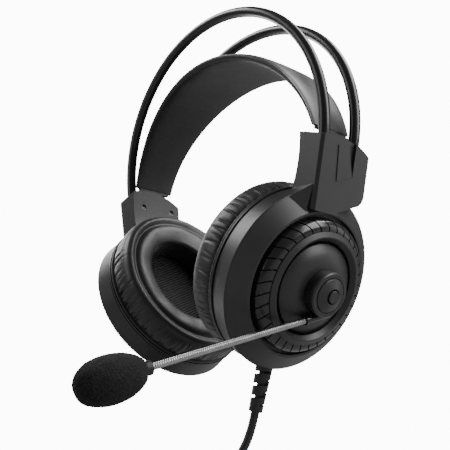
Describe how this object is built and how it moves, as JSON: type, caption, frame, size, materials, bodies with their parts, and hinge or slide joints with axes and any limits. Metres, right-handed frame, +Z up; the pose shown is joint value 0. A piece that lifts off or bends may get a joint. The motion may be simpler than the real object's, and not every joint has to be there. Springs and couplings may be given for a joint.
{
  "type": "gaming headset",
  "caption": "Over-ear gaming headset: round cups with cushions, tube headband, self-adjusting suspension strap, swivelling boom microphone and a coiled cord with a jack plug.",
  "frame": {"origin": "midway between the two cups, on the line that joins the ears, where the wearer's head holds the headset", "axes": "+X to the wearer's left (the cup with the microphone), -Y to the front, +Z up towards the headband"},
  "size_m": [0.1768, 0.1737, 0.2831],
  "materials": {
    "shell_plastic": "fine satin moulded",
    "inner_plastic": "matte",
    "gloss_plastic": "gloss",
    "leatherette": "soft satin leatherette",
    "mesh": "ribbed acoustic mesh",
    "diaphragm": "clear film",
    "magnet": "plated",
    "steel": "zinc plated",
    "steel_black": "black oxide",
    "bright_steel": "ribbed, satin chrome",
    "tube_paint": "gloss black",
    "rubber": "satin",
    "foam": "open-cell foam",
    "cord_jacket": "smooth",
    "tie": "hook-and-loop tape",
    "plug_metal": "nickel plated"
  },
  "bodies": {
    "headset": {"arm_cover_left": "shell_plastic", "arm_cover_right": "shell_plastic", "baffle_left": "shell_plastic", "baffle_right": "shell_plastic", "baffle_screws_left": "steel", "baffle_screws_right": "steel", "blank_cap_right": "shell_plastic", "cord_coil": "cord_jacket", "cord_lead": "cord_jacket", "cord_tail": "cord_jacket", "cord_tie": "tie", "cover_screws_left": "steel_black", "cover_screws_right": "steel_black", "cup_housing_left": "shell_plastic", "cup_housing_right": "shell_plastic", "dome_left": "shell_plastic", "dome_right": "shell_plastic", "driver_diaphragm_left": "diaphragm", "driver_diaphragm_right": "diaphragm", "driver_frame_left": "inner_plastic", "driver_frame_right": "inner_plastic", "driver_magnet_left": "magnet", "driver_magnet_right": "magnet", "ear_cushion_left": "leatherette", "ear_cushion_right": "leatherette", "headband_tube_back": "tube_paint", "headband_tube_front": "tube_paint", "mesh_screen_left": "mesh", "mesh_screen_right": "mesh", "plug_body": "rubber", "plug_pin": "plug_metal", "strain_relief": "rubber", "tread_ring_left": "gloss_plastic", "tread_ring_right": "gloss_plastic", "trim_ring_left": "shell_plastic", "trim_ring_right": "shell_plastic"},
    "microphone": {"boom_socket": "gloss_plastic", "capsule_holder": "inner_plastic", "foam_windscreen": "foam", "mic_boom": "bright_steel", "mic_capsule": "steel", "mic_hub": "inner_plastic", "mic_hub_clip": "steel", "mic_knob": "shell_plastic", "mic_knob_cap": "shell_plastic"},
    "button": {"mute_button": "shell_plastic"},
    "strap": {"strap_clip_left": "inner_plastic", "strap_clip_right": "inner_plastic", "strap_elastic_left": "rubber", "strap_elastic_right": "rubber", "strap_slider_left": "inner_plastic", "strap_slider_right": "inner_plastic", "suspension_strap": "leatherette"}
  },
  "joints": [
    {"name": "boom_swing", "type": "hinge", "parent": "headset", "child": "microphone", "pos_m": [0.031, 0, 0], "axis": [0.9033, 0, -0.4289], "range_deg": [-110, 25]},
    {"name": "mute_press", "type": "slide", "parent": "microphone", "child": "button", "axis": [-0.9033, 0, 0.4289], "range_m": [0, 0.0008], "stiffness_N_per_m": 300, "springref_m": -0.001},
    {"name": "strap_rise", "type": "slide", "parent": "headset", "child": "strap", "axis": [0, 0, 1], "range_m": [0, 0.015], "stiffness_N_per_m": 60, "springref_m": -0.01, "deforming": ["strap_elastic_left", "strap_elastic_right"]}
  ]
}
